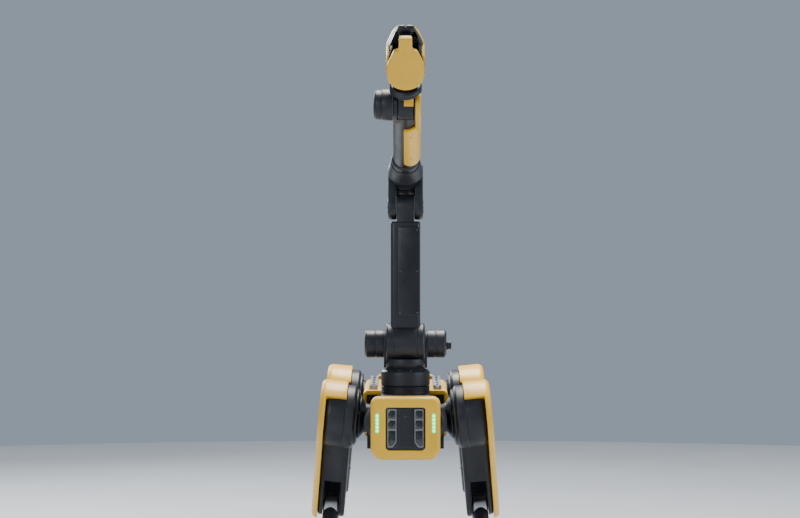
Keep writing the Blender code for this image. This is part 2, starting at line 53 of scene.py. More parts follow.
# ---- design values, in the local frames ----
SPLAY = 5.5                      # degrees the legs lean outwards
THIGH_LEAN = 40.0
KNEE_BEND = 77.4
FOREARM_LEAN = 64.0
HAND_LEAN = 40.0
THIGH_LENGTH = 0.3205
SHANK_LENGTH = 0.339
FOOT_RADIUS = 0.034
UPPER_ARM_LENGTH = 0.3385
FOREARM_OFFSET = 0.075
FOREARM_LENGTH = 0.4033
SHOULDER_Z = 0.188
CHEEK_FACE = 0.023               # left face of the wrist fork, under its cover
FINGER_PIVOT_Y = 0.0148
DECK_TOP = 0.066
CHASSIS_TOP = 0.0545
FACE_BACK = 0.3873
FACE_FRONT = 0.43
FACE_HALF_WIDTH = 0.085
FACE_TOP = 0.0655
FACE_BOTTOM = -0.0885
PANEL = ((-0.0482, -0.0647), (0.0482, 0.0397))
FACE_OPENING = ((-0.0485, -0.065), (0.0485, 0.04))
WINDOW_X = 0.033
WINDOW_PANES = (                 # bottom, top, slant of the lower corner, height and radius of the lens
    (-0.0545, -0.0165, 0.008, -0.03, 0.0066),
    (-0.0125, 0.0085, 0.0001, -0.002, 0.0058),
    (0.0125, 0.0325, 0.0001, 0.0225, 0.0058))
LED_X = 0.069
LED_LOW = -0.0235
LED_HIGH = 0.026
LED_DOTS = 5
CONTROLS_Z = 0.02                # height of the rear camera and the two buttons
HIP_X = 0.055                    # the abduction axes, either side of the middle
MOUTH_FLOOR = 0.006 - FINGER_PIVOT_Y

# Where cutters end, clear of the body.
BEHIND_FACE = 0.37
BEFORE_FACE = 0.45
BEYOND_SIDE = 0.12
ABOVE_DECK = 0.08
BELOW_BELLY = -0.11
BEYOND_JAW = 0.08

AXIS_TURN = {
    "X": Matrix(((0, 0, 1, 0), (1, 0, 0, 0), (0, 1, 0, 0), (0, 0, 0, 1))),
    "Y": Matrix(((1, 0, 0, 0), (0, 0, -1, 0), (0, 1, 0, 0), (0, 0, 0, 1))),
    "Z": Matrix.Identity(4),
}

# ---- local frames ----


def joint_place(joint, splay=0.0, lean=0.0):
    """The local frame on a joint's axis: leaned sideways, then forwards or back."""
    return (Matrix.Translation(JOINTS[joint]["pos_m"])
            @ Matrix.Rotation(radians(splay), 4, "Y") @ Matrix.Rotation(radians(lean), 4, "X"))


def at(place, x, y, z):
    """A place moved along its own axes."""
    return place @ Matrix.Translation((x, y, z))


HIP_FRONT = Vector(JOINTS["hip_abduction_front_left"]["pos_m"])
HIP_REAR = Vector(JOINTS["hip_abduction_rear_left"]["pos_m"])
BODY = Matrix.Translation((0, (HIP_FRONT.y + HIP_REAR.y) / 2, HIP_FRONT.z))
TURRET = joint_place("arm_yaw")
SHOULDER = joint_place("shoulder_pitch")
ELBOW = joint_place("elbow", 0, FOREARM_LEAN)
ROLL = joint_place("forearm_roll", 0, FOREARM_LEAN)
WRIST = joint_place("wrist_pitch", 0, HAND_LEAN)
HAND = joint_place("wrist_roll", 0, HAND_LEAN)
FINGER = joint_place("gripper", 0, HAND_LEAN)


class Nodes:
    """A short way to add nodes to a material and link them by socket name."""

    def __init__(self, name, slot):
        self.made = bpy.data.materials.new(name)
        self.made.use_nodes = True
        self.tree = self.made.node_tree
        self.shader = self.tree.nodes["Principled BSDF"]
        self.place = self.tree.nodes.new("ShaderNodeTexCoord").outputs["Object"]

    def add(self, kind, settings=(), inputs=()):
        node = self.tree.nodes.new(kind)
        for key, value in dict(settings).items():
            setattr(node, key, value)
        for key, value in dict(inputs).items():
            self.give(node.inputs[key], value)
        return node

    def give(self, socket, value):
        if isinstance(value, bpy.types.NodeSocket):
            self.tree.links.new(value, socket)
        else:
            socket.default_value = value

    def noise(self, scale, detail=4.0, roughness=0.55, stretch=(1, 1, 1)):
        moved = self.add("ShaderNodeMapping", {}, {"Vector": self.place, "Scale": stretch})
        made = self.add("ShaderNodeTexNoise", {}, {"Vector": moved.outputs[0], "Scale": scale,
                                                   "Detail": detail, "Roughness": roughness})
        return made.outputs[0]

    def mask(self, value, low, high, start=0.0, end=1.0):
        made = self.add("ShaderNodeMapRange", {"interpolation_type": "SMOOTHSTEP"},
                        {"Value": value, "From Min": low, "From Max": high,
                         "To Min": start, "To Max": end})
        return made.outputs[0]

    def mix(self, factor, first, second):
        made = self.add("ShaderNodeMix", {"data_type": "RGBA"})
        self.give(made.inputs["Factor"], factor)
        self.give(made.inputs[6], first)
        self.give(made.inputs[7], second)
        return made.outputs[2]

    def bump(self, height, strength, distance, below=None):
        made = self.add("ShaderNodeBump", {},
                        {"Height": height, "Strength": strength, "Distance": distance})
        if below is not None:
            self.give(made.inputs["Normal"], below)
        return made.outputs[0]

    def set(self, **values):
        for key, value in values.items():
            self.give(self.shader.inputs[key.replace("_", " ")], value)
        return self.made


def shade(colour, by):
    return (*[min(1.0, c * by) for c in colour[:3]], 1.0)


DUST = (0.42, 0.4, 0.37, 1.0)


def moulded(name, slot, colour, rough, metallic=0.0, grain=900.0, grain_depth=0.00006, mottle=0.1,
            dust_amount=0.1, scuff=0.35, coat=0.0):
    """Moulded or coated surface: slow colour drift, moulding grain, fine scuffs and settled dust."""
    n = Nodes(name, slot)
    drift = n.mask(n.noise(7.0, 3.0), 0.35, 0.65)
    base = n.mix(drift, shade(colour, 1 - mottle), shade(colour, 1 + mottle))
    scratch = n.mask(n.noise(60.0, 6.0, 0.7, (1.0, 6.0, 0.6)), 0.66, 0.74, 0.0, scuff)
    base = n.mix(scratch, base, shade(tuple(0.6 * c + 0.1 for c in colour), 1.0))
    normal = n.add("ShaderNodeNewGeometry").outputs["Normal"]
    up = n.mask(n.add("ShaderNodeSeparateXYZ", {}, {"Vector": normal}).outputs[2], 0.3, 1.0)
    specks = n.mask(n.noise(38.0, 8.0, 0.75), 0.45, 0.75, 0.0, dust_amount)
    settled = n.add("ShaderNodeMath", {"operation": "MULTIPLY"}, {0: up, 1: specks}).outputs[0]
    base = n.mix(settled, base, DUST)
    smudge = n.mask(n.noise(16.0, 5.0, 0.6), 0.3, 0.7, rough - 0.07, rough + 0.09)
    fine = n.bump(n.noise(grain, 2.0), 0.35, grain_depth)
    return n.set(Base_Color=base, Roughness=smudge, Metallic=metallic, Coat_Weight=coat,
                 Coat_Roughness=0.25, Normal=n.bump(n.noise(24.0, 3.0), 0.05, 0.0004, fine))


def brushed(name, slot, colour, rough):
    """Anodised aluminium with fine lengthwise brushing."""
    n = Nodes(name, slot)
    lines = n.noise(120.0, 3.0, 0.6, (9.0, 0.4, 9.0))
    tone = n.mix(n.mask(lines, 0.3, 0.7), shade(colour, 0.82), shade(colour, 1.12))
    rough_map = n.mask(n.noise(30.0, 4.0), 0.3, 0.7, rough - 0.06, rough + 0.1)
    return n.set(Base_Color=tone, Roughness=rough_map, Metallic=1.0, Normal=n.bump(lines, 0.12, 0.00008))


def rubbery(name, slot, colour):
    """Matt rubber with moulding grain and pale dust in the grain."""
    n = Nodes(name, slot)
    grain = n.noise(420.0, 5.0, 0.65)
    worn = n.mask(n.noise(26.0, 6.0, 0.7), 0.42, 0.72, 0.0, 0.5)
    tone = n.mix(worn, shade(colour, 1.0), (0.075, 0.07, 0.064, 1.0))
    return n.set(Base_Color=tone, Roughness=n.mask(worn, 0.0, 0.5, 0.72, 0.92),
                 Normal=n.bump(grain, 0.5, 0.0002))


def window_glass(name, slot, colour):
    """Dark tinted window with a polished coat and faint smears."""
    n = Nodes(name, slot)
    tint = n.mix(n.mask(n.noise(45.0, 3.0), 0.3, 0.7), shade(colour, 0.7), shade(colour, 1.6))
    smear = n.mask(n.noise(30.0, 6.0, 0.7, (1.0, 1.0, 3.0)), 0.4, 0.8, 0.05, 0.2)
    return n.set(Base_Color=tint, Roughness=smear, Coat_Weight=1.0, Coat_Roughness=0.03)


def glowing(name, slot, core, rim, strength):
    """Lamp under a frosted diffuser: grainy, with rim and core tints mixed at random."""
    n = Nodes(name, slot)
    grain = n.mask(n.noise(500.0, 2.0), 0.2, 0.8)
    return n.set(Base_Color=n.mix(grain, rim, core), Emission_Color=n.mix(grain, rim, core),
                 Emission_Strength=strength, Roughness=0.4)


YELLOW = moulded("yellow_shell_plastic", "shell_yellow", (0.84, 0.47, 0.018), 0.4, mottle=0.05,
                 grain=700.0, grain_depth=0.00005, scuff=0.14, coat=0.15)
BLACK = moulded("black_housing_plastic", "body_black", (0.0085, 0.01, 0.015), 0.41, mottle=0.16,
                dust_amount=0.018, scuff=0.12)
BLACK_TRIM = moulded("black_trim_plastic", "body_black", (0.006, 0.0068, 0.0095), 0.28, mottle=0.15,
                     dust_amount=0.012, scuff=0.08, coat=0.3)
GRAPHITE = moulded("graphite_powder_coat", "cast_graphite", (0.02, 0.022, 0.028), 0.45, metallic=0.4,
                   grain=1100.0, grain_depth=0.0001, dust_amount=0.02)
GREY_TRIM = moulded("grey_window_frame", "body_black", (0.19, 0.2, 0.19), 0.4, dust_amount=0.03)
METAL = brushed("anodised_aluminium", "bare_metal", (0.42, 0.43, 0.45), 0.36)
STEEL = brushed("dark_steel_fastener", "bare_metal", (0.16, 0.165, 0.175), 0.38)
RUBBER = rubbery("foot_rubber_compound", "foot_rubber", (0.012, 0.012, 0.013))
GLASS = window_glass("tinted_sensor_window", "lens_glass", (0.006, 0.01, 0.0115))
LED = glowing("green_status_light", "light_green", (0.12, 1.0, 0.4, 1.0), (0.03, 1.0, 0.26, 1.0), 3.2)
LED_HOUSING = glowing("green_light_pipe", "light_green", (0.00, 0.62, 0.2, 1.0),
                      (0.00, 0.5, 0.15, 1.0), 1.6)

# ---- outlines and profiles ----


def arc(centre, radius, start, end, steps):
    angles = [radians(start + (end - start) * i / steps) for i in range(steps + 1)]
    return [(centre[0] + radius * cos(a), centre[1] + radius * sin(a)) for a in angles]


def rounded_rectangle(low, high, bottom_radius, top_radius=None, steps=8):
    (x0, z0), (x1, z1) = low, high
    top = bottom_radius if top_radius is None else top_radius
    return (arc((x1 - bottom_radius, z0 + bottom_radius), bottom_radius, -90, 0, steps)
            + arc((x1 - top, z1 - top), top, 0, 90, steps)
            + arc((x0 + top, z1 - top), top, 90, 180, steps)
            + arc((x0 + bottom_radius, z0 + bottom_radius), bottom_radius, 180, 270, steps))


def belt(circles, steps=72):
    """The outline of a belt pulled tight round circles given as (across, up, radius)."""
    points = sorted(point for across, up, radius in circles
                    for point in arc((across, up), radius, 0, 360 * (1 - 1 / steps), steps - 1))

    def turn(a, b, c):
        return (b[0] - a[0]) * (c[1] - a[1]) - (b[1] - a[1]) * (c[0] - a[0])

    def half(ordered):
        chain = []
        for point in ordered:
            while len(chain) > 1 and turn(chain[-2], chain[-1], point) <= 1e-10:
                chain.pop()
            chain.append(point)
        return chain[:-1]
    return half(points) + half(points[::-1])


def eased(points, radius, steps=4, closed=False):
    """A line of points whose corners are replaced by short curves."""
    count = len(points)
    made = []
    for i, point in enumerate(points):
        if not closed and i in (0, count - 1):
            made.append(point)
            continue
        corner = Vector(point)
        before = Vector(points[i - 1]) - corner
        after = Vector(points[(i + 1) % count]) - corner
        reach = min(radius, 0.45 * before.length, 0.45 * after.length)
        first = corner + before.normalized() * reach
        last = corner + after.normalized() * reach
        for k in range(steps + 1):
            t = k / steps
            made.append(tuple(first * (1 - t) ** 2 + corner * 2 * t * (1 - t) + last * t ** 2))
    return made


def mirrored(outline):
    return [(-across, up) for across, up in reversed(outline)]


# ---- mesh tools ----


def new_object(work, place):
    """Turn a bmesh into an object in world coordinates."""
    bmesh.ops.recalc_face_normals(work, faces=work.faces)
    mesh = bpy.data.meshes.new("piece")
    work.to_mesh(mesh)
    work.free()
    mesh.transform(place)
    obj = bpy.data.objects.new("piece", mesh)
    bpy.context.scene.collection.objects.link(obj)
    return obj


def bake(obj):
    """Apply the object's modifiers."""
    depsgraph = bpy.context.evaluated_depsgraph_get()
    mesh = bpy.data.meshes.new_from_object(obj.evaluated_get(depsgraph))
    obj.modifiers.clear()
    obj.data = mesh
    return obj


def round_edges(obj, width, segments=2, angle=50):
    bevel = obj.modifiers.new("bevel", "BEVEL")
    bevel.width = width
    bevel.segments = segments
    bevel.limit_method = "ANGLE"
    bevel.angle_limit = radians(angle)
    return bake(obj)


def combined(obj, operation, tools):
    for tool in tools:
        boolean = obj.modifiers.new("boolean", "BOOLEAN")
        boolean.operation = operation
        boolean.solver = "EXACT"
        boolean.object = tool
        bake(obj)
        bpy.data.objects.remove(tool, do_unlink=True)
    return obj


def cut(obj, *tools):
    return combined(obj, "DIFFERENCE", tools)


def join(obj, *tools):
    return combined(obj, "UNION", tools)


def lathe(profile, place, axis="Z", way=1, steps=72):
    """Turn a profile of (radius, along) points; way -1 points it the other way along its axis."""
    work = bmesh.new()
    angles = [radians(360 * i / steps) for i in range(steps)]
    rings = []
    for radius, along in profile:
        if radius < 1e-6:
            rings.append([work.verts.new((0, 0, way * along))])
        else:
            rings.append([work.verts.new((radius * cos(a), radius * sin(a), way * along)) for a in angles])
    for upper, lower in zip(rings, rings[1:]):
        for i in range(steps):
            j = (i + 1) % steps
            corners = [upper[i % len(upper)], lower[i % len(lower)],
                       lower[j % len(lower)], upper[j % len(upper)]]
            corners = list(dict.fromkeys(corners))
            if len(corners) > 2:
                work.faces.new(corners)
    return new_object(work, place @ AXIS_TURN[axis])


def turned(profile, rounding, place, axis="Z", way=1, steps=72, smooth=4):
    """A lathed part with the corners of its profile rounded."""
    return lathe(eased(profile, rounding, smooth), place, axis, way, steps)


def both_ways(half):
    """A profile that is the same on both sides of its middle, from its first half."""
    return half + [(radius, -along) for radius, along in reversed(half)]


def drum(radius, low, high, place, axis, edge, steps=72):
    """A plain cylinder with rounded rims."""
    corners = [(0, high), (radius, high), (radius, low), (0, low)]
    return turned(corners, edge, place, axis, 1, steps)


def plate(outline, low, high, axis, place, edge=0.0, segments=3):
    """A flat outline extruded along an axis, with rounded rims."""
    low, high = min(low, high), max(low, high)
    work = bmesh.new()
    face = work.faces.new([work.verts.new((across, up, low)) for across, up in outline])
    moved = bmesh.ops.extrude_face_region(work, geom=[face])["geom"]
    raised = [part for part in moved if isinstance(part, bmesh.types.BMVert)]
    bmesh.ops.translate(work, vec=(0, 0, high - low), verts=raised)
    if axis == "Y":              # the turn to this axis points the slab backwards
        bmesh.ops.translate(work, vec=(0, 0, -low - high), verts=work.verts)
    obj = new_object(work, place @ AXIS_TURN[axis])
    return round_edges(obj, edge, segments, 38) if edge else obj


def skin(work, rings):
    """Faces between closed rings of vertices, and one over each end."""
    for lower, upper in zip(rings, rings[1:]):
        for i in range(len(lower)):
            work.faces.new((lower[i - 1], lower[i], upper[i], upper[i - 1]))
    work.faces.new(rings[0])
    work.faces.new(rings[-1])


def swept_ring(profile, start, end, place, steps=40):
    """Part of a ring about the X axis, from a closed profile of (radius, along) points."""
    work = bmesh.new()
    rings = []
    for i in range(steps + 1):
        angle = radians(start + (end - start) * i / steps)
        rings.append([work.verts.new((along, radius * cos(angle), radius * sin(angle)))
                      for radius, along in profile])
    skin(work, rings)
    return new_object(work, place)


def crowned(outline, levels, axis, place):
    """A slab whose outline shrinks from level to level; each level is (along, inset)."""
    points = [Vector(point) for point in outline]
    count = len(points)
    area = sum(points[i - 1].cross(points[i]) for i in range(count))
    inward = []
    for i in range(count):
        along = (points[(i + 1) % count] - points[i - 1]).normalized()
        inward.append(Vector((-along.y, along.x)) * (1 if area > 0 else -1))
    work = bmesh.new()
    rings = [[work.verts.new((*(point + step * inset), level)) for point, step in zip(points, inward)]
             for level, inset in levels]
    skin(work, rings)
    return new_object(work, place @ AXIS_TURN[axis])


def block(x, y, z, place, edge=0.0, segments=3):
    """A box from its (low, high) pairs."""
    outline = [(x[0], y[0]), (x[1], y[0]), (x[1], y[1]), (x[0], y[1])]
    return plate(outline, *z, "Z", place, edge, segments)


def merged(objects):
    """Several loose solids as one object."""
    work = bmesh.new()
    for obj in objects:
        work.from_mesh(obj.data)
        bpy.data.objects.remove(obj, do_unlink=True)
    return new_object(work, Matrix.Identity(4))


def piece(obj, name, body, look, hides=()):
    """Name an object, dress it, and let it ride on a body in place of the CAD nodes it hides."""
    obj.name = name
    obj.data.name = name
    obj.data.materials.clear()
    obj.data.materials.append(look)
    obj.data.shade_smooth()
    obj.data.set_sharp_from_angle(angle=radians(32))
    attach(obj, body)
    if hides:
        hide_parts(*hides)
    return obj


def bolt(place, radius):
    """A socket head screw whose head stands on the local XY plane."""
    top = 0.55 * radius
    socket_floor = 0.15 * radius
    profile = [(0, socket_floor), (0.46 * radius, socket_floor), (0.5 * radius, top), (0.93 * radius, top),
               (radius, 0.4 * radius), (radius, -0.3 * radius), (0, -0.3 * radius)]
    return turned(profile, 0.08 * radius, place, steps=20, smooth=2)


def facing(point, direction):
    """A place whose Z axis points along a direction."""
    turn = Vector(direction).to_track_quat("Z", "Y").to_matrix().to_4x4()
    return Matrix.Translation(point) @ turn


def bolts(name, body, place, points, direction, radius=0.0024):
    made = merged([bolt(place @ facing(point, direction), radius) for point in points])
    return piece(made, name, body, STEEL)


def ring(count, radius, along, axis, start=0.0):
    """Points evenly spaced on a circle about an axis."""
    points = []
    for i in range(count):
        angle = radians(start + 360 * i / count)
        a, b = radius * cos(angle), radius * sin(angle)
        points.append({"X": (along, a, b), "Y": (a, along, b), "Z": (a, b, along)}[axis])
    return points


# ---- body ----


def face_ring(end):
    """The bezel of the front face or the cover of the rear, with its opening."""
    sign = ENDS[end]
    outline = rounded_rectangle((-FACE_HALF_WIDTH, FACE_BOTTOM), (FACE_HALF_WIDTH, FACE_TOP),
                                0.03, 0.02, 12)
    rounding = 0.012
    rim = 0.001
    levels = [(-sign * FACE_BACK, rim), (-sign * (FACE_BACK + rim), 0.0)]
    for i in range(10):
        turn = radians(10 * i)
        levels.append((-sign * (FACE_FRONT - rounding * (1 - sin(turn))), rounding * (1 - cos(turn))))
    made = crowned(outline, levels, "Y", BODY)
    opening = rounded_rectangle(*FACE_OPENING, 0.01, 0.006)
    cut(made, plate(opening, sign * BEHIND_FACE, sign * BEFORE_FACE, "Y", BODY))
    return made


def front_face():
    bezel = face_ring("front")
    for sign in SIDES.values():
        slot = rounded_rectangle((sign * LED_X - 0.0048, LED_LOW - 0.0003),
                                 (sign * LED_X + 0.0048, LED_HIGH + 0.0003), 0.0046)
        cut(bezel, plate(slot, -BEHIND_FACE, -BEFORE_FACE, "Y", BODY))
    round_edges(bezel, 0.001)
    piece(bezel, "front_bezel_shell", "chassis", YELLOW, ["front_bezel"])
    panel = plate(rounded_rectangle(*PANEL, 0.0098, 0.0058), -FACE_BACK - 0.001, -0.4235, "Y", BODY, 0.001)
    piece(panel, "front_panel_glossy", "chassis", BLACK_TRIM, ["front_sensor_panel"])
    raised = rounded_rectangle((-0.0185, -0.06), (0.0185, 0.0365), 0.004)
    centre = plate(raised, -0.423, -0.4262, "Y", BODY, 0.0012)
    recess = rounded_rectangle((-0.0125, -0.052), (0.0125, 0.0285), 0.003)
    cut(centre, plate(recess, -0.4253, -BEFORE_FACE, "Y", BODY))
    piece(centre, "front_centre_block", "chassis", BLACK)
    sensor = drum(0.0042, 0.4225, 0.4262, at(BODY, 0, 0, 0.02), "Y", 0.0006)
    piece(sensor, "front_centre_sensor", "chassis", GLASS)
    bolts("front_panel_screws", "chassis", BODY,
          [(x, -0.4236, z) for x in (-0.0445, 0.0445) for z in (-0.0612, 0.0372)], (0, -1, 0), 0.0016)
    for side, sign in SIDES.items():
        sensor_window(side, sign)
        light_strip(side, sign)


def window_outline(sign, half, low, high, slant):
    """A window whose lower corner towards the middle of the face is cut at a slant."""
    inner = sign * (WINDOW_X - half)
    outer = sign * (WINDOW_X + half)
    corners = [(outer, low), (outer, high), (inner, high), (inner, low + 1.4 * slant),
               (inner + sign * slant, low)]
    return eased(corners, 0.0024, 4, True)


def sensor_window(side, sign):
    """Stereo camera stack: a grey frame round three dark panes, with a lens in each."""
    body = plate(window_outline(sign, 0.0112, -0.058, 0.0355, 0.0095), -0.4225, -0.4268, "Y", BODY, 0.001)
    panes = []
    lenses = []
    for bottom, top, slant, lens_height, radius in WINDOW_PANES:
        rim = window_outline(sign, 0.0088, bottom, top, slant)
        cut(body, plate(rim, -0.4248, -BEFORE_FACE, "Y", BODY))
        pane = window_outline(sign, 0.0086, bottom + 0.0002, top - 0.0002, slant)
        panes.append(plate(pane, -0.424, -0.4256, "Y", BODY, 0.0004, 2))
        profile = [(0, 0.4263), (0.55 * radius, 0.4262), (0.62 * radius, 0.42585), (0.7 * radius, 0.4264),
                   (radius, 0.4264), (radius, 0.4248), (0, 0.4248)]
        lens_place = at(BODY, sign * WINDOW_X, 0, lens_height)
        lenses.append(turned(profile, 0.0003, lens_place, "Y", steps=40))
    piece(body, f"sensor_frame_{side}", "chassis", GREY_TRIM)
    piece(merged(panes), f"sensor_panes_{side}", "chassis", GLASS, [f"sensor_window_{side}"])
    piece(merged(lenses), f"sensor_lenses_{side}", "chassis", BLACK_TRIM)


def light_strip(side, sign):
    """A light pipe with bright round-cornered dots."""
    centre = sign * LED_X
    pipe = rounded_rectangle((centre - 0.0045, LED_LOW), (centre + 0.0045, LED_HIGH), 0.0044)
    housing = plate(pipe, -FACE_BACK - 0.001, -0.429, "Y", BODY, 0.0008)
    piece(housing, f"light_pipe_{side}", "chassis", LED_HOUSING, [f"led_strip_{side}"])
    margin = 0.002
    gap = 0.002
    pitch = (LED_HIGH - LED_LOW - 2 * margin) / LED_DOTS
    dots = []
    for i in range(LED_DOTS):
        bottom = LED_LOW + margin + pitch * i + gap / 2
        dot = rounded_rectangle((centre - 0.0036, bottom), (centre + 0.0036, bottom + pitch - gap),
                                0.003, None, 5)
        dots.append(plate(dot, -0.4288, -0.43, "Y", BODY, 0.0006, 3))
    piece(merged(dots), f"light_dots_{side}", "chassis", LED)


def body_covers():
    inner, outer = 0.0965, 0.106
    bend = 0.014
    profile = ([(0.0602, 0.0549), (inner - 0.002, 0.0549), (inner, 0.0529), (inner, -0.05),
                (inner + 0.004, -0.0505), (outer, -0.03)]
               + arc((outer - bend, DECK_TOP - bend), bend, 0, 90, 10) + [(0.0602, DECK_TOP)])
    for side, sign in SIDES.items():
        shell = plate(profile if sign > 0 else mirrored(profile), -0.2028, 0.2028, "Y", BODY, 0.0022, 3)
        recess = rounded_rectangle((-0.15, -0.03), (0.15, 0.03), 0.012)
        cut(shell, plate(recess, sign * 0.1035, sign * BEYOND_SIDE, "X", BODY))
        round_edges(shell, 0.0007, 2, 55)
        piece(shell, f"side_shell_{side}", "chassis", YELLOW, [f"body_shell_{side}"])
        insert = plate(rounded_rectangle((-0.1485, -0.0285), (0.1485, 0.0285), 0.011), sign * 0.1025,
                       sign * 0.1048, "X", BODY, 0.0008)
        for i in range(9):
            y = -0.116 + 0.029 * i
            pocket = rounded_rectangle((y - 0.009, -0.016), (y + 0.009, 0.016), 0.004)
            cut(insert, plate(pocket, sign * 0.1038, sign * BEYOND_SIDE, "X", BODY))
        piece(insert, f"side_insert_{side}", "chassis", BLACK)
        bolts(f"side_screws_{side}", "chassis", BODY,
              [(sign * 0.1058, y, 0.041) for y in (-0.185, -0.06, 0.06, 0.185)]
              + [(sign * 0.1054, y, -0.033) for y in (-0.185, 0.185)], (sign, 0, 0), 0.0026)
        bolts(f"rail_screws_{side}", "chassis", BODY,
              [(sign * 0.08, -0.16 + 0.064 * i, 0.0729) for i in range(6)], (0, 0, 1), 0.0028)


def top_deck():
    deck = block((-0.0597, 0.0597), (-0.386, 0.386), (CHASSIS_TOP + 0.0003, DECK_TOP), BODY, 0.0018)
    groove = (DECK_TOP - 0.0012, ABOVE_DECK)
    for x in (-0.04, 0.04):
        cut(deck, block((x - 0.0012, x + 0.0012), (-0.215, 0.34), groove, BODY))
    for y in (-0.215, 0.215):
        cut(deck, block((-0.07, 0.07), (y - 0.001, y + 0.001), groove, BODY))
    port = rounded_rectangle((-0.026, 0.08), (0.026, 0.19), 0.006)
    cut(deck, plate(port, DECK_TOP - 0.0025, ABOVE_DECK, "Z", BODY))
    piece(deck, "top_deck_plate", "chassis", BLACK, ["top_deck"])
    hatch = plate(rounded_rectangle((-0.0245, 0.0815), (0.0245, 0.1885), 0.005), DECK_TOP - 0.0027,
                  DECK_TOP - 0.0003, "Z", BODY, 0.0008)
    piece(hatch, "payload_port_hatch", "chassis", GRAPHITE)
    rows = (-0.372, -0.2, -0.1, 0.0, 0.1, 0.2, 0.28, 0.372)
    bolts("deck_screws", "chassis", BODY, [(x, y, DECK_TOP) for x in (-0.051, 0.051) for y in rows],
          (0, 0, 1), 0.0028)
    bolts("hatch_screws", "chassis", BODY,
          [(x, y, DECK_TOP - 0.0004) for x in (-0.02, 0.02) for y in (0.087, 0.183)], (0, 0, 1), 0.0018)


def belly():
    pack = block((-0.075, 0.075), (-0.16, 0.16), (-0.0965, -0.0803), BODY, 0.005, 4)
    grip = rounded_rectangle((-0.035, 0.11), (0.035, 0.14), 0.012)
    cut(pack, plate(grip, BELOW_BELLY, -0.0885, "Z", BODY))
    for x in (-0.05, 0.0, 0.05):
        cut(pack, block((x - 0.0015, x + 0.0015), (-0.13, 0.085), (BELOW_BELLY, -0.0952), BODY))
    piece(pack, "battery_casing", "chassis", BLACK, ["battery_pack"])
    latch = rounded_rectangle((-0.018, 0.113), (0.018, 0.121), 0.003)
    piece(plate(latch, -0.094, -0.088, "Z", BODY, 0.001), "battery_latch", "chassis", YELLOW)
    bolts("belly_screws", "chassis", BODY,
          [(x, y, -0.08) for x in (-0.087, 0.087) for y in (-0.19, -0.065, 0.065, 0.19)],
          (0, 0, -1), 0.0028)


def rear_face():
    cover = face_ring("rear")
    round_edges(cover, 0.001)
    piece(cover, "rear_cover_shell", "chassis", YELLOW, ["rear_cover"])
    bolts("rear_panel_screws", "chassis", BODY,
          [(x, 0.4271, z) for x in (-0.0435, 0.0435) for z in (-0.059, 0.035)], (0, 1, 0), 0.0018)
    lens = [(0, 0.4268), (0.0045, 0.4268), (0.0055, 0.4274), (0.0065, 0.4274), (0.0065, 0.424), (0, 0.424)]
    piece(lathe(lens, at(BODY, 0, 0, CONTROLS_Z), "Y", -1, 40), "rear_camera_lens", "chassis", BLACK_TRIM)
    bore = 0.0088
    bushing = [(bore, 0.4266), (0.0112, 0.428), (0.0118, 0.4266), (0.0118, 0.425), (bore, 0.425),
               (bore, 0.4266)]
    for x, name in ((0.033, "power"), (-0.033, "lockout")):
        place = at(BODY, x, 0, CONTROLS_Z)
        piece(turned(bushing, 0.0002, place, "Y", -1, 48), f"{name}_button_bezel", "chassis", METAL)


def hip_motors():
    profile = [(0, 0.231), (0.04, 0.231), (0.044, 0.229), (0.044, 0.224), (0.0418, 0.223),
               (0.0418, 0.22), (0.044, 0.219), (0.044, 0.2055), (0, 0.2055)]
    for end, forward in ENDS.items():
        for side, sign in SIDES.items():
            motor = turned(profile, 0.0006, at(BODY, sign * HIP_X, 0, 0), "Y", -forward)
            piece(motor, f"abduction_motor_{end}_{side}", "chassis", METAL, [f"hip_motor_{end}_{side}"])


# ---- legs ----


def hip_link(label, sign):
    place = joint_place(f"hip_abduction_{label}", -sign * SPLAY)
    body = f"hip_{label}"
    barrel = both_ways([(0, 0.0665), (0.036, 0.0665), (0.0405, 0.064), (0.0475, 0.0615), (0.0475, 0.048),
                        (0.0462, 0.047), (0.0462, 0.044), (0.0475, 0.043)])
    piece(turned(barrel, 0.0008, place, "Y"), f"hip_barrel_{label}", body, BLACK, [f"hip_link_{label}"])
    neck = [(0, 0.0617), (0.0505, 0.0617), (0.052, 0.0602), (0.052, 0.057), (0.0495, 0.0555),
            (0.037, 0.048), (0.034, 0.03), (0.034, 0.01), (0, 0.01)]
    piece(turned(neck, 0.003, place, "X", sign), f"hip_neck_{label}", body, BLACK)
    for way, letter in ((-1, "f"), (1, "b")):
        bolts(f"hip_screws_{letter}_{label}", body, place, ring(8, 0.03, way * 0.0665, "Y", 22.5),
              (0, way, 0))


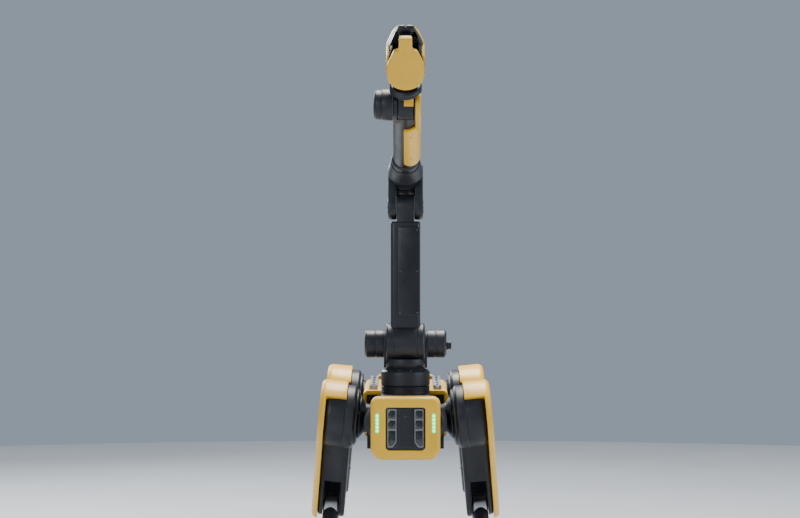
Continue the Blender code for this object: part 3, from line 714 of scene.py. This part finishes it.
def thigh(label, sign):
    place = joint_place(f"hip_pitch_{label}", -sign * SPLAY, THIGH_LEAN)
    body = f"thigh_{label}"
    corners = [(0, -0.0487), (0.0655, -0.0487), (0.0695, -0.046), (0.0695, -0.0415), (0.074, -0.0405),
               (0.0775, -0.036), (0.0775, -0.018), (0.0762, -0.0172), (0.0762, -0.015),
               (0.0775, -0.0142), (0.0775, 0.0203)]
    profile = eased(corners, 0.0012) + arc((0.0655, 0.0203), 0.012, 0, 90, 8)[1:] + [(0, 0.0323)]
    piece(lathe(profile, place, "X", sign, 96), f"thigh_motor_{label}", body, BLACK)
    outline = belt([(0.022, 0.0, 0.048), (0.018, -0.17, 0.042), (0.006, -THIGH_LENGTH, 0.03)])
    beam = plate(outline, -sign * 0.035, sign * 0.0325, "X", place, 0.005, 4)
    knee_slot = block((-0.0205, 0.0205), (-0.09, 0.0275), (-0.42, -0.21), place)
    knee_bore = drum(0.0084, -0.05, 0.05, at(place, 0, 0, -THIGH_LENGTH), "X", 0.0001, 40)
    hollow = belt([(0.022, -0.095, 0.02), (0.018, -0.16, 0.016)], 48)
    cut(beam, knee_slot, knee_bore, plate(hollow, -sign * 0.0338, -sign * 0.05, "X", place))
    round_edges(beam, 0.0008)
    piece(beam, f"thigh_beam_{label}", body, BLACK, [f"thigh_frame_{label}"])
    bolts(f"thigh_motor_screws_{label}", body, place, ring(10, 0.06, -sign * 0.0485, "X", 18),
          (-sign, 0, 0))
    spots = ((0.047, -0.075), (0.046, -0.15), (0.04, -0.215), (0.027, -0.29))
    bolts(f"thigh_beam_screws_{label}", body, place, [(-sign * 0.035, y, z) for y, z in spots],
          (-sign, 0, 0), 0.0026)
    thigh_cover(label, sign, place, body)


def thigh_outline(hip, middle, knee):
    """An outline down the outside of the thigh, from its radii at the hip, half way and the knee."""
    return belt([(0.0, 0.0, hip), (0.016, -0.17, middle), (0.002, -THIGH_LENGTH, knee)], 96)


def thigh_cover(label, sign, place, body):
    """Yellow outer shell with its hood over the motor, a parting groove, its cap and its screws."""
    hip_radius = 0.0868
    back, front, crown, rim = 0.0333, 0.048, 0.015, 0.0006
    levels = [(sign * back, rim), (sign * (back + rim), 0.0)]
    for i in range(1, 10):
        turn = radians(10 * i)
        levels.append((sign * (back + rim + (front - back - rim) * sin(turn)), crown * (1 - cos(turn))))
    shell = crowned(thigh_outline(hip_radius, 0.045, 0.037), levels, "X", place)
    profile = ([(hip_radius, 0.0345)] + arc((0.0843, -0.0145), 0.0025, 0, -90, 4)
               + arc((0.0796, -0.0155), 0.0015, -90, -180, 3) + arc((0.0656, 0.0205), 0.0125, 0, 90, 8)
               + [(0.0656, 0.0345)])
    hood = swept_ring([(radius, sign * along) for radius, along in profile], -25, 105, place)
    join(shell, round_edges(hood, 0.0022, 3, 60))
    groove = plate(thigh_outline(0.064, 0.027, 0.019), sign * 0.047, sign * 0.06, "X", place)
    cut(groove, plate(thigh_outline(0.0625, 0.0255, 0.0175), sign * 0.046, sign * 0.07, "X", place))
    cut(shell, groove)
    piece(shell, f"thigh_shell_{label}", body, YELLOW, [f"thigh_cover_{label}"])
    cap = [(0, 0.0489), (0.03, 0.0489), (0.033, 0.0484), (0.0345, 0.0474), (0.0345, 0.045), (0, 0.045)]
    piece(turned(cap, 0.0008, place, "X", sign), f"thigh_cap_{label}", body, BLACK)
    bolts(f"thigh_cap_screws_{label}", body, place, ring(6, 0.025, sign * 0.0488, "X", 30),
          (sign, 0, 0), 0.0022)
    spots = ((0.016, -0.105), (0.016, -0.19), (0.008, -0.262), (0.002, -THIGH_LENGTH + 0.006))
    bolts(f"thigh_shell_screws_{label}", body, place, [(sign * 0.0479, y, z) for y, z in spots],
          (sign, 0, 0), 0.0026)


def shank(label, sign):
    place = joint_place(f"knee_{label}", -sign * SPLAY, THIGH_LEAN - KNEE_BEND)
    body = f"shank_{label}"
    top, low = -0.004, -SHANK_LENGTH + 0.02
    tube = [(0, top), (0.0185, top), (0.0195, -0.03), (0.0186, -0.075), (0.0172, -0.078),
            (0.0166, -0.084), (0.0168, -0.15), (0.015, low + 0.06), (0.0146, low + 0.034),
            (0.0172, low + 0.03), (0.0176, low + 0.006), (0.016, low), (0, low)]
    piece(turned(tube, 0.0016, place), f"shin_tube_{label}", body, BLACK)
    boss = [(0, 0.0197), (0.015, 0.0197), (0.0158, 0.0186), (0.0225, 0.0186), (0.0258, 0.016),
            (0.026, -0.016), (0.0225, -0.0186), (0.0158, -0.0186), (0.015, -0.0197), (0, -0.0197)]
    piece(turned(boss, 0.0008, place, "X"), f"knee_boss_{label}", body, METAL, [f"shank_{label}"])
    pin = both_ways([(0, 0.033), (0.006, 0.033), (0.008, 0.0318)])
    piece(turned(pin, 0.0004, place, "X", steps=40), f"knee_pin_{label}", body, METAL)
    foot(label, place, body)


def foot(label, place, body):
    """Ball foot of rubber with moulded tread rings, under a short boot."""
    centre = -SHANK_LENGTH
    tread_depth = 0.0006
    top_angle = 28
    steps = 46
    ball = []
    for i in range(steps + 1):
        angle = top_angle + (180 - top_angle) * i / steps
        grooved = 78 < angle < 172 and i % 4 < 2
        radius = FOOT_RADIUS - tread_depth * grooved
        ball.append((radius * sin(radians(angle)), centre + radius * cos(radians(angle))))
    ball[-1] = (0, ball[-1][1])
    boot = [(0, centre + 0.05), (0.0146, centre + 0.05), (0.0172, centre + 0.046),
            (0.0165, centre + 0.038), (0.0185, centre + 0.034)]
    piece(lathe(eased(boot, 0.001) + ball, place), f"foot_ball_{label}", body, RUBBER, [f"foot_{label}"])


# ---- arm ----


def arm_base():
    """Collar under the turret, with three grooves round it."""
    outer, inner = 0.0605, 0.059
    profile = [(0, 0.084), (0.0585, 0.084), (outer, 0.0828)]
    for i in range(3):
        top = 0.0812 - 0.0044 * i
        profile += [(outer, top), (inner, top - 0.0006), (inner, top - 0.0018), (outer, top - 0.0024)]
    profile += [(outer, DECK_TOP + 0.0003), (0, DECK_TOP + 0.0003)]
    piece(turned(profile, 0.0004, TURRET, steps=96, smooth=2), "arm_base_collar", "chassis", GRAPHITE,
          ["arm_base_ring"])


def turret():
    profile = [(0, 0.152), (0.0533, 0.152), (0.0536, 0.138), (0.05, 0.131), (0.0468, 0.127),
               (0.0545, 0.1245), (0.0598, 0.1195), (0.0605, 0.114), (0.0605, 0.087), (0.059, 0.0843),
               (0, 0.0843)]
    column = turned(profile, 0.0022, TURRET, steps=96)
    cheek = belt([(0, SHOULDER_Z, 0.0335), (0, 0.152, 0.024)])
    for sign in SIDES.values():
        join(column, plate(cheek, sign * 0.0484, sign * 0.0533, "X", TURRET, 0.001, 2))
    centre = at(TURRET, 0, 0, SHOULDER_Z)
    cut(column, drum(0.0518, -0.0481, 0.0481, centre, "X", 0.0002, 96))
    piece(column, "turret_casting", "turret", GRAPHITE, ["turret_column"])
    bolts("turret_screws", "turret", TURRET, ring(12, 0.053, 0.1243, "Z", 15), (0, 0, 1), 0.002)
    barrel = [(0, 0.101), (0.0235, 0.101), (0.025, 0.1), (0.03, 0.1), (0.0345, 0.096),
              (0.0345, 0.076), (0.0333, 0.0752), (0.0333, 0.0732), (0.0345, 0.0724), (0.0345, 0.0538),
              (0, 0.0538)]
    for side, sign in SIDES.items():
        piece(turned(barrel, 0.0008, centre, "X", sign), f"shoulder_barrel_{side}", "turret", BLACK,
              [f"shoulder_motor_{side}"])
        bolts(f"shoulder_screws_{side}", "turret", centre, ring(8, 0.0272, sign * 0.0999, "X", 22.5),
              (sign, 0, 0), 0.002)
    plug = [(0, 0.1135), (0.008, 0.1135), (0.01, 0.112), (0.01, 0.106), (0.0112, 0.105),
            (0.0112, 0.1), (0, 0.1)]
    plug_place = at(TURRET, 0, 0.002, SHOULDER_Z - 0.004)
    piece(turned(plug, 0.0005, plug_place, "X", steps=48), "shoulder_connector", "turret", GRAPHITE)


def upper_arm():
    hub = both_ways([(0, 0.0477), (0.044, 0.0477), (0.049, 0.0462), (0.051, 0.043), (0.051, 0.03),
                     (0.0498, 0.0292), (0.0498, 0.0272), (0.051, 0.0264)])
    piece(turned(hub, 0.0008, SHOULDER, "X", steps=96), "shoulder_drum", "upper_arm", BLACK)
    beam = plate(rounded_rectangle((-0.0365, -0.03), (0.0365, 0.03), 0.009), 0.01, 0.302, "Z",
                 SHOULDER, 0.0045, 4)
    hollow = rounded_rectangle((-0.013, 0.085), (0.013, 0.265), 0.01)
    for sign in SIDES.values():
        cut(beam, plate(hollow, sign * 0.0345, sign * 0.05, "X", SHOULDER))
    lug = belt([(0.0, UPPER_ARM_LENGTH, 0.03), (0.0, 0.28, 0.026)])
    join(beam, plate(lug, -0.0215, 0.0215, "X", SHOULDER, 0.002, 3))
    round_edges(beam, 0.0007)
    piece(beam, "upper_arm_beam", "upper_arm", BLACK, ["upper_arm_frame"])
    cover = plate(rounded_rectangle((-0.0185, 0.07), (0.0345, 0.29), 0.006), -0.03, -0.0333, "Y",
                  SHOULDER, 0.0012)
    piece(cover, "upper_arm_front_cover", "upper_arm", BLACK_TRIM, ["upper_arm_cover"])
    bolts("upper_arm_screws", "upper_arm", SHOULDER,
          [(x, -0.0333, z) for x in (-0.013, 0.029) for z in (0.078, 0.18, 0.282)], (0, -1, 0), 0.0018)


def forearm_root():
    profile = [(0, 0.1), (0.035, 0.1), (0.0362, 0.0955), (0.04, 0.062), (0.042, 0.054),
               (0.042, 0.033), (0.0406, 0.0322), (0.0406, 0.0296), (0.042, 0.0288), (0.042, -0.026),
               (0.037, -0.033), (0, -0.033)]
    housing = turned(profile, 0.0025, at(ELBOW, 0, FOREARM_OFFSET, 0), steps=96)
    ears = belt([(0.0, 0.0, 0.032), (FOREARM_OFFSET, 0.004, 0.034)])
    for sign in SIDES.values():
        join(housing, plate(ears, sign * 0.022, sign * 0.043, "X", ELBOW, 0.004, 4))
    piece(housing, "elbow_housing", "forearm_root", BLACK, ["forearm_root"])
    cap = [(0, 0.0441), (0.017, 0.0441), (0.02, 0.0434), (0.0212, 0.0424), (0.0212, 0.04), (0, 0.04)]
    for side, sign in SIDES.items():
        piece(turned(cap, 0.0005, ELBOW, "X", sign), f"elbow_cap_{side}", "forearm_root", GRAPHITE)
        bolts(f"elbow_screws_{side}", "forearm_root", ELBOW, ring(6, 0.014, sign * 0.044, "X"),
              (sign, 0, 0), 0.0018)


def half_shell(radius, thickness, start, end, tip, spread):
    """Open half tube about the forearm's axis, facing +X, with a rounded end at its start."""
    rows, columns = 48, 40
    narrowest = 6.0              # degrees each way, where the shell starts
    work = bmesh.new()
    grid = []
    for i in range(rows + 1):
        along = start + (end - start) * (i / rows) ** 1.6
        into = min(1.0, (along - start) / tip)
        half = max(narrowest, spread * sqrt(1 - (1 - into) ** 2))
        angles = [radians(-half + 2 * half * k / columns) for k in range(columns + 1)]
        grid.append([work.verts.new((radius * cos(a), radius * sin(a), along)) for a in angles])
    for lower, upper in zip(grid, grid[1:]):
        for k in range(columns):
            work.faces.new((lower[k], lower[k + 1], upper[k + 1], upper[k]))
    made = new_object(work, ROLL)
    solid = made.modifiers.new("thickness", "SOLIDIFY")
    solid.thickness = thickness
    solid.offset = -1.0
    return round_edges(bake(made), 0.0012, 3, 50)


def forearm():
    tube = [(0, 0.385), (0.03, 0.385), (0.03, 0.126), (0.0288, 0.124), (0.0288, 0.12),
            (0.033, 0.116), (0.034, 0.104), (0.033, 0.1003), (0, 0.1003)]
    core = turned(tube, 0.0012, ROLL, steps=96)
    centre = at(ROLL, 0, 0, FOREARM_LENGTH)
    cheek = belt([(0.0, FOREARM_LENGTH, 0.03), (0.0, 0.366, 0.028)])
    join(core, plate(cheek, -0.0298, 0.0298, "X", ROLL, 0.0018, 3))
    cut(core,
        drum(0.035, -0.0198, 0.0198, centre, "X", 0.0002, 96),
        block((CHEEK_FACE, 0.05), (-0.05, 0.05), (0.294, 0.46), ROLL))
    piece(core, "forearm_core", "forearm", BLACK, ["forearm_tube"])
    shell = half_shell(0.0366, 0.006, 0.135, 0.3352, 0.03, 96)
    piece(shell, "forearm_shell", "forearm", YELLOW, ["forearm_cover"])
    cap = belt([(0.0, FOREARM_LENGTH, 0.034), (0.0, 0.32, 0.025)])
    piece(plate(cap, CHEEK_FACE + 0.0003, 0.0363, "X", ROLL, 0.003, 4), "forearm_wrist_cap", "forearm",
          YELLOW)
    motor = [(0, 0.0757), (0.0225, 0.0757), (0.024, 0.0745), (0.029, 0.0745), (0.0345, 0.07),
             (0.0352, 0.059), (0.034, 0.0582), (0.034, 0.0562), (0.0365, 0.055), (0.0372, 0.045),
             (0.0372, 0.0303), (0, 0.0303)]
    piece(turned(motor, 0.001, centre, "X", -1, 96), "wrist_motor_housing", "forearm", BLACK,
          ["wrist_motor"])
    bolts("wrist_motor_screws", "forearm", centre, ring(8, 0.0263, -0.0744, "X", 22.5), (-1, 0, 0), 0.0019)
    bolts("wrist_cap_screws", "forearm", centre, ring(5, 0.021, 0.0362, "X", 18), (1, 0, 0), 0.002)
    outward = (cos(radians(-70)), sin(radians(-70)), 0)
    bolts("forearm_shell_screws", "forearm", ROLL,
          [(0.036 * outward[0], 0.036 * outward[1], z) for z in (0.185, 0.3)], outward, 0.0022)


def wrist():
    """Knuckle between the fork's cheeks, with its yellow cap and the roll flange."""
    profile = both_ways([(0, 0.0193), (0.029, 0.0193), (0.0335, 0.0165)])
    hub = turned(profile, 0.0012, WRIST, "X")
    neck = rounded_rectangle((-0.019, -0.02), (0.019, 0.02), 0.004)
    join(hub, plate(neck, 0.0, 0.04, "Z", WRIST))
    cut(hub, block((-0.004, 0.05), (-0.05, -0.0165), (0.0177, 0.036), WRIST))
    piece(hub, "wrist_hub", "wrist", GRAPHITE, ["wrist_knuckle"])
    cap = drum(0.0335, -0.0037, 0.0187, WRIST, "X", 0.0002, 96)
    join(cap, block((-0.0037, 0.0187), (-0.02, 0.0), (0.0, 0.0357), WRIST))
    cut(cap,
        block((-0.05, 0.05), (-0.0168, 0.05), (-0.05, 0.05), WRIST),
        block((-0.05, 0.05), (-0.05, 0.05), (-0.05, 0.018), WRIST))
    round_edges(cap, 0.0014, 3, 45)
    piece(cap, "wrist_cap", "wrist", YELLOW, ["wrist_cover"])
    flange = [(0, 0.045), (0.0285, 0.045), (0.03, 0.044), (0.03, 0.0372), (0.028, 0.036),
              (0, 0.036)]
    piece(turned(flange, 0.0006, WRIST), "wrist_flange", "wrist", BLACK)


def hand():
    collar = [(0, 0.062), (0.034, 0.062), (0.0385, 0.0585), (0.0385, 0.0535), (0.0374, 0.0528),
              (0.0374, 0.0512), (0.0385, 0.0505), (0.0385, 0.047), (0.0372, 0.0453), (0, 0.0453)]
    piece(turned(collar, 0.0008, HAND, steps=96), "hand_collar", "palm", BLACK)
    palm = block((-0.0295, 0.0295), (-0.0175, 0.028), (0.057, 0.141), HAND, 0.0035, 4)
    edge = [(0.026, 0.1), (0.026, 0.15), (0.0145, 0.182), (0.0145, 0.2175)]
    jaw = eased(edge + mirrored(edge), 0.006, 4, True)
    join(palm, plate(jaw, -0.0172, -0.006, "Y", HAND, 0.0012, 2))
    for i in range(9):
        z = 0.15 + 0.0072 * i
        cut(palm, block((-0.03, 0.03), (-0.0071, 0.0), (z, z + 0.0022), HAND))
    piece(palm, "palm_block", "palm", BLACK, ["palm_frame"])
    round_part = arc((0, 0.112), 0.0428, 180, 360, 60)
    neck = [(0.0425, 0.143), (0.0275, 0.181), (0.016, 0.186), (0.0152, 0.2215)]
    outline = eased(round_part + neck + mirrored(neck), 0.005, 4, True)
    piece(plate(outline, -0.0345, -0.0178, "Y", HAND, 0.0045, 5), "palm_shell", "palm", YELLOW,
          ["palm_cover"])
    lens = [(0, 0.1455), (0.0045, 0.1452), (0.0052, 0.1446), (0.006, 0.1456), (0.007, 0.145),
            (0.007, 0.1413), (0, 0.1413)]
    piece(turned(lens, 0.0002, at(HAND, 0, 0.009, 0), steps=40, smooth=2),
          "palm_camera_lens", "palm", GLASS, ["palm_camera"])


def finger_outline(sign, width):
    """Half the outline of the upper jaw seen from the back, from the hinge to the tip."""
    return eased([(sign * width, -0.06), (sign * width, 0.034), (sign * (width - 0.0273), 0.112),
                  (sign * (width - 0.0286), 0.117)], 0.012, 6)


def finger_cutter(sign, width, far):
    """A solid from one side of the upper jaw's outline to a far edge; 0 is the middle of the jaw."""
    outline = finger_outline(sign, width) + [(sign * far, 0.14), (sign * far, -0.06)]
    return plate(outline, -0.06, 0.06, "Y", FINGER)


def mouth():
    """A solid that fills the hollow in the upper jaw's biting face."""
    return block((-0.03, 0.03), (-0.05, MOUTH_FLOOR), (0.03, 0.1), FINGER)


# Side view of the shells' front edge, as (y, z) in the finger's frame.
FINGER_SHELL_FRONT = [(-0.05, 0.04), (0.019, 0.04), (0.0165, 0.06), (-0.0105, 0.13),
                      (-0.05, 0.13)]


def finger_front():
    """The black part of the jaw that reaches out in front of the yellow side shells."""
    flesh = plate(belt([(0.006, 0.066, 0.0178), (-0.01, 0.108, 0.0063)]), -0.0447, 0.0447, "X", FINGER)
    keep_out = [(y + 0.0004, z) for y, z in FINGER_SHELL_FRONT[1:4]] + [(0.06, 0.13), (0.06, 0.04)]
    cut(flesh,
        plate(keep_out, -0.06, 0.06, "X", FINGER),
        block((-0.06, 0.06), (-0.06, 0.06), (-0.06, 0.0404), FINGER),
        mouth())
    for sign in SIDES.values():
        cut(flesh, finger_cutter(sign, 0.0447, BEYOND_JAW))
    return flesh


def finger():
    """Upper jaw that narrows to a notched tip, with teeth, and yellow shells down its sides."""
    jaw = plate(belt([(0.0, 0.0, 0.03), (0.006, 0.066, 0.018), (-0.01, 0.108, 0.0065)]),
                -0.04, 0.04, "X", FINGER)
    cut(jaw, block((-0.03, 0.03), (-0.05, 0.05), (-0.05, 0.0307), FINGER), mouth())
    for sign in SIDES.values():
        cut(jaw, finger_cutter(sign, 0.04, BEYOND_JAW))
    join(jaw, finger_front())
    cut(jaw, plate([(-0.0085, 0.122), (0.0085, 0.122), (0.0, 0.1085)], -0.06, 0.06, "Y", FINGER))
    for i in range(8):
        z = 0.036 + 0.0078 * i
        half = min(0.0285, 0.037 - 0.35 * max(0.0, z - 0.034))
        cut(jaw, block((-half, half), (MOUTH_FLOOR - 0.001, MOUTH_FLOOR + 0.0012), (z, z + 0.0025), FINGER))
    round_edges(jaw, 0.0009)
    piece(jaw, "finger_jaw", "finger", BLACK, ["finger_frame"])
    side_belt = belt([(0.0, 0.0, 0.0312), (0.006, 0.066, 0.019), (-0.01, 0.108, 0.007)])
    cap = [(0, 0.046), (0.006, 0.046), (0.0085, 0.0455), (0.0092, 0.0445), (0.0092, 0.042), (0, 0.042)]
    for side, sign in SIDES.items():
        shell = plate(side_belt, sign * 0.013, sign * 0.045, "X", FINGER)
        cut(shell,
            finger_cutter(sign, 0.045, BEYOND_JAW),
            finger_cutter(sign, 0.0403, 0.0),
            plate(FINGER_SHELL_FRONT, -0.06, 0.06, "X", FINGER))
        round_edges(shell, 0.0012, 3, 50)
        piece(shell, f"finger_shell_{side}", "finger", YELLOW, [f"finger_cover_{side}"])
        piece(turned(cap, 0.0004, FINGER, "X", sign, 40), f"finger_pivot_{side}", "finger", GRAPHITE)
        bolts(f"finger_screws_{side}", "finger", FINGER,
              [(sign * 0.0449, 0.014, 0.02), (sign * 0.0449, -0.016, 0.012)], (sign, 0, 0), 0.0018)


# ---- stage ----
LAMP_TARGET = Vector((0, -0.1, 0.75))
LAMPS = (("overhead", (0.3, 1.2, 4.4), 430.0, 2.2, (1.0, 0.98, 0.94)),
         ("front_fill", (-2.6, -4.8, 2.4), 95.0, 2.6, (0.92, 0.96, 1.0)),
         ("side_fill", (3.4, -1.6, 1.6), 55.0, 2.0, (0.95, 0.98, 1.0)),
         ("back", (-1.8, 3.4, 2.2), 90.0, 1.6, (0.95, 0.98, 1.0)))


def studio():
    """A round pale floor, an even backdrop and soft lamps."""
    work = bmesh.new()
    bmesh.ops.create_circle(work, cap_ends=True, segments=96, radius=5.4)
    floor = new_object(work, Matrix.Identity(4))
    floor.name = "studio_floor"
    n = Nodes("studio_floor_paint", "body_black")
    tone = n.mix(n.mask(n.noise(1.4, 3.0), 0.3, 0.7), (0.5, 0.52, 0.55, 1.0), (0.54, 0.56, 0.59, 1.0))
    floor.data.materials.append(n.set(Base_Color=tone, Roughness=0.55))
    world = bpy.data.worlds.new("studio")
    world.use_nodes = True
    backdrop = world.node_tree.nodes["Background"].inputs
    backdrop["Color"].default_value = (0.5, 0.6, 0.72, 1.0)
    backdrop["Strength"].default_value = 0.55
    bpy.context.scene.world = world
    for name, place, power, size, colour in LAMPS:
        light = bpy.data.lights.new(name, "AREA")
        light.energy = power
        light.size = size
        light.color = colour
        lamp = bpy.data.objects.new(name, light)
        lamp.location = place
        lamp.rotation_euler = (LAMP_TARGET - Vector(place)).to_track_quat("-Z", "Y").to_euler()
        bpy.context.scene.collection.objects.link(lamp)


def camera():
    """Long lens straight ahead of the robot, a little above its back, nearly level."""
    distance = 7.7               # from the arm's yaw axis
    height = 0.617               # above the hip axes
    view_width = 36.0
    lens = 140.3
    horizon_rise = 0.11125       # of the picture's width, above its middle
    centre_offset = 0.006875     # the robot stands a little right of the middle
    data = bpy.data.cameras.new("camera")
    data.sensor_width = view_width
    data.lens = lens
    made = bpy.data.objects.new("camera", data)
    made.location = (0, TURRET.translation.y - distance, BODY.translation.z + height)
    pitch = atan(horizon_rise * view_width / lens)
    turn = atan(centre_offset * view_width / lens)
    made.rotation_euler = (radians(90) - pitch, 0, turn)
    bpy.context.scene.collection.objects.link(made)
    bpy.context.scene.camera = made


# ---- everything ----
KEPT_NODES = {"chassis_frame": GRAPHITE, "payload_rail_left": METAL, "payload_rail_right": METAL,
              "rear_panel": BLACK, "rear_camera_window": GLASS, "power_button": METAL,
              "motor_lockout_button": METAL}


def dress_kept_nodes():
    for node, look in KEPT_NODES.items():
        obj = frame["nodes"][node]
        obj.data.materials.clear()
        obj.data.materials.append(look)


def main():
    camera()
    studio()
    dress_kept_nodes()
    front_face()
    rear_face()
    body_covers()
    top_deck()
    belly()
    hip_motors()
    for end in ENDS:
        for side, sign in SIDES.items():
            label = f"{end}_{side}"
            hip_link(label, sign)
            thigh(label, sign)
            shank(label, sign)
    arm_base()
    turret()
    upper_arm()
    forearm_root()
    forearm()
    wrist()
    hand()
    finger()


main()
